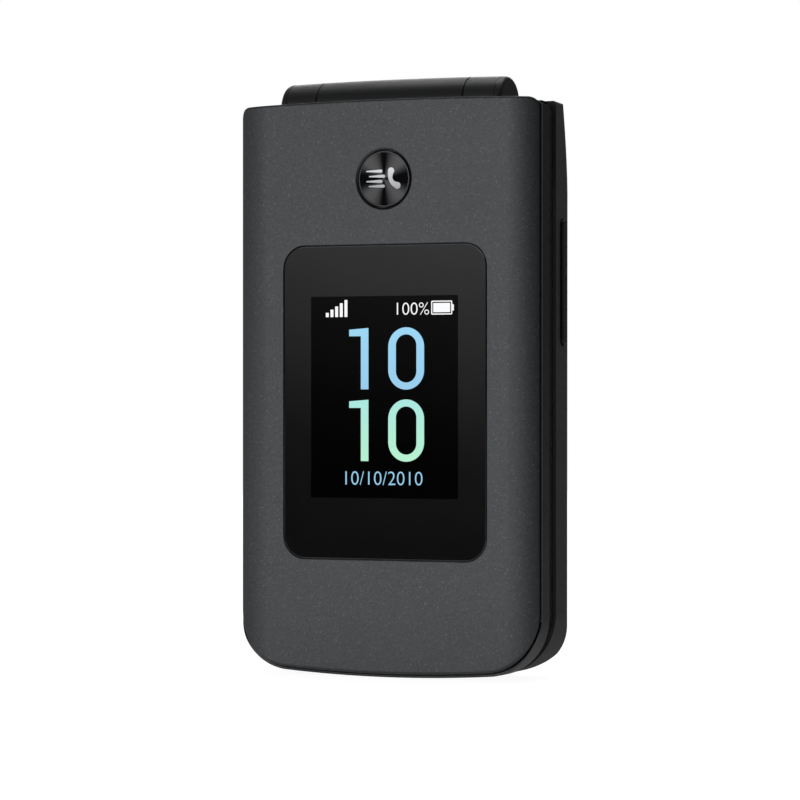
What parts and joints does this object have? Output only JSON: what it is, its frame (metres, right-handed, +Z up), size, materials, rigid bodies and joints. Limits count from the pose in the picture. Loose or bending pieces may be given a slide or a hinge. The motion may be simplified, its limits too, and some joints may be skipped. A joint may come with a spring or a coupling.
{
  "type": "flip phone",
  "caption": "Closed clamshell mobile phone standing on its foot edge, with an outer display, a round call button, a side rocker, a keypad base and a barrel hinge.",
  "frame": {"origin": "middle of the bounding box, on the plane that the foot edge stands on", "axes": "+X to the right as seen from the lid's side, +Y from the lid to the back, +Z up along the closed phone to its hinge"},
  "size_m": [0.0577, 0.0182, 0.1041],
  "materials": {
    "cover_lacquer": "charcoal lacquer with a fine metallic sparkle over plastic, matt",
    "frame_plastic": "near-black moulded plastic, fine grain",
    "keypad_plastic": "black moulded plastic, satin",
    "window_plastic": "clear acrylic, black on its back",
    "flash_plastic": "clear yellowish plastic",
    "display_glass": "glass cell over a backlight",
    "spun_metal": "black anodised, turned face",
    "key_plastic": "dark grey, satin",
    "call_key_plastic": "green, satin",
    "end_key_plastic": "red, satin",
    "ring_plastic": "grey metallic lacquer",
    "mat_rubber": "silicone, matt",
    "bumper_rubber": "black, matt",
    "dome_sheet_film": "film over metal domes",
    "circuit_board": "green solder mask",
    "tinned_sheet": "thin tinned sheet",
    "hinge_steel": "ground steel",
    "screw_steel": "nickel plated",
    "bushing_plastic": "natural acetal",
    "flex_film": "amber polyimide film",
    "black_module": "black moulded parts",
    "mesh_metal": "blackened woven mesh",
    "battery_wrap": "can in a dark wrap",
    "contact_gold": "gold flash over spring bronze"
  },
  "bodies": {
    "base": {"front_housing": "keypad_plastic", "rear_housing": "frame_plastic", "battery": "battery_wrap", "battery_contacts": "contact_gold", "key_mat": "mat_rubber", "dome_sheet": "dome_sheet_film", "main_board": "circuit_board", "shield_cans": "tinned_sheet", "microphone": "tinned_sheet", "usb_socket": "tinned_sheet", "headphone_jack": "black_module", "loudspeaker": "black_module", "speaker_mesh": "mesh_metal", "camera_module": "black_module", "camera_lens": "window_plastic", "flash_lens": "flash_plastic", "vibration_motor": "tinned_sheet", "sim_holder": "tinned_sheet", "side_key_board": "circuit_board", "base_screws": "screw_steel", "cam_shaft": "hinge_steel", "hollow_pin": "hinge_steel"},
    "lid": {"lid_cover": "cover_lacquer", "outer_window": "window_plastic", "outer_display": "display_glass", "button_switch": "tinned_sheet", "lid_board": "circuit_board", "lid_frame": "frame_plastic", "main_display": "display_glass", "main_lens": "window_plastic", "earpiece": "black_module", "earpiece_mesh": "mesh_metal", "lid_bumpers": "bumper_rubber", "lid_screws": "screw_steel", "hinge_cartridge": "hinge_steel", "cam_follower": "hinge_steel", "cam_spring": "hinge_steel", "pin_bushing": "bushing_plastic", "hinge_flex": "flex_film"},
    "quick_call_button": {"quick_call_button": "spun_metal"},
    "battery_cover": {"battery_cover": "frame_plastic"},
    "volume_rocker": {"volume_rocker": "frame_plastic"},
    "key_1": {"key_1": "key_plastic"},
    "key_2": {"key_2": "key_plastic"},
    "key_3": {"key_3": "key_plastic"},
    "key_4": {"key_4": "key_plastic"},
    "key_5": {"key_5": "key_plastic"},
    "key_6": {"key_6": "key_plastic"},
    "key_7": {"key_7": "key_plastic"},
    "key_8": {"key_8": "key_plastic"},
    "key_9": {"key_9": "key_plastic"},
    "key_star": {"key_star": "key_plastic"},
    "key_0": {"key_0": "key_plastic"},
    "key_hash": {"key_hash": "key_plastic"},
    "key_call": {"key_call": "call_key_plastic"},
    "key_end": {"key_end": "end_key_plastic"},
    "key_soft_left": {"key_soft_left": "key_plastic"},
    "key_soft_right": {"key_soft_right": "key_plastic"},
    "nav_ring": {"nav_ring": "ring_plastic"},
    "select_key": {"select_key": "key_plastic"}
  },
  "joints": [
    {"name": "flip_hinge", "type": "hinge", "parent": "base", "child": "lid", "pos_m": [0, -0.00258, 0.09925], "axis": [-1, 0, 0], "range_deg": [0, 155]},
    {"name": "call_button_press", "type": "slide", "parent": "lid", "child": "quick_call_button", "axis": [0, 1, 0], "range_m": [0, 0.0003], "stiffness_N_per_m": 500},
    {"name": "battery_cover_slide", "type": "slide", "parent": "base", "child": "battery_cover", "axis": [0, 1, 0], "range_m": [0, 0.025]},
    {"name": "volume_rocker_tip", "type": "hinge", "parent": "base", "child": "volume_rocker", "pos_m": [0.0263, 0.00282, 0.0684], "axis": [0, 1, 0], "range_deg": [-2, 2], "stiffness_Nm_per_rad": 0.05},
    {"name": "key_1_press", "type": "slide", "parent": "base", "child": "key_1", "axis": [0, 1, 0], "range_m": [0, 0.00035], "stiffness_N_per_m": 500},
    {"name": "key_2_press", "type": "slide", "parent": "base", "child": "key_2", "axis": [0, 1, 0], "range_m": [0, 0.00035], "stiffness_N_per_m": 500},
    {"name": "key_3_press", "type": "slide", "parent": "base", "child": "key_3", "axis": [0, 1, 0], "range_m": [0, 0.00035], "stiffness_N_per_m": 500},
    {"name": "key_4_press", "type": "slide", "parent": "base", "child": "key_4", "axis": [0, 1, 0], "range_m": [0, 0.00035], "stiffness_N_per_m": 500},
    {"name": "key_5_press", "type": "slide", "parent": "base", "child": "key_5", "axis": [0, 1, 0], "range_m": [0, 0.00035], "stiffness_N_per_m": 500},
    {"name": "key_6_press", "type": "slide", "parent": "base", "child": "key_6", "axis": [0, 1, 0], "range_m": [0, 0.00035], "stiffness_N_per_m": 500},
    {"name": "key_7_press", "type": "slide", "parent": "base", "child": "key_7", "axis": [0, 1, 0], "range_m": [0, 0.00035], "stiffness_N_per_m": 500},
    {"name": "key_8_press", "type": "slide", "parent": "base", "child": "key_8", "axis": [0, 1, 0], "range_m": [0, 0.00035], "stiffness_N_per_m": 500},
    {"name": "key_9_press", "type": "slide", "parent": "base", "child": "key_9", "axis": [0, 1, 0], "range_m": [0, 0.00035], "stiffness_N_per_m": 500},
    {"name": "key_star_press", "type": "slide", "parent": "base", "child": "key_star", "axis": [0, 1, 0], "range_m": [0, 0.00035], "stiffness_N_per_m": 500},
    {"name": "key_0_press", "type": "slide", "parent": "base", "child": "key_0", "axis": [0, 1, 0], "range_m": [0, 0.00035], "stiffness_N_per_m": 500},
    {"name": "key_hash_press", "type": "slide", "parent": "base", "child": "key_hash", "axis": [0, 1, 0], "range_m": [0, 0.00035], "stiffness_N_per_m": 500},
    {"name": "key_call_press", "type": "slide", "parent": "base", "child": "key_call", "axis": [0, 1, 0], "range_m": [0, 0.00035], "stiffness_N_per_m": 500},
    {"name": "key_end_press", "type": "slide", "parent": "base", "child": "key_end", "axis": [0, 1, 0], "range_m": [0, 0.00035], "stiffness_N_per_m": 500},
    {"name": "key_soft_left_press", "type": "slide", "parent": "base", "child": "key_soft_left", "axis": [0, 1, 0], "range_m": [0, 0.00035], "stiffness_N_per_m": 500},
    {"name": "key_soft_right_press", "type": "slide", "parent": "base", "child": "key_soft_right", "axis": [0, 1, 0], "range_m": [0, 0.00035], "stiffness_N_per_m": 500},
    {"name": "key_nav_ring_press", "type": "slide", "parent": "base", "child": "nav_ring", "axis": [0, 1, 0], "range_m": [0, 0.00035], "stiffness_N_per_m": 500},
    {"name": "key_select_press", "type": "slide", "parent": "base", "child": "select_key", "axis": [0, 1, 0], "range_m": [0, 0.00035], "stiffness_N_per_m": 500}
  ]
}
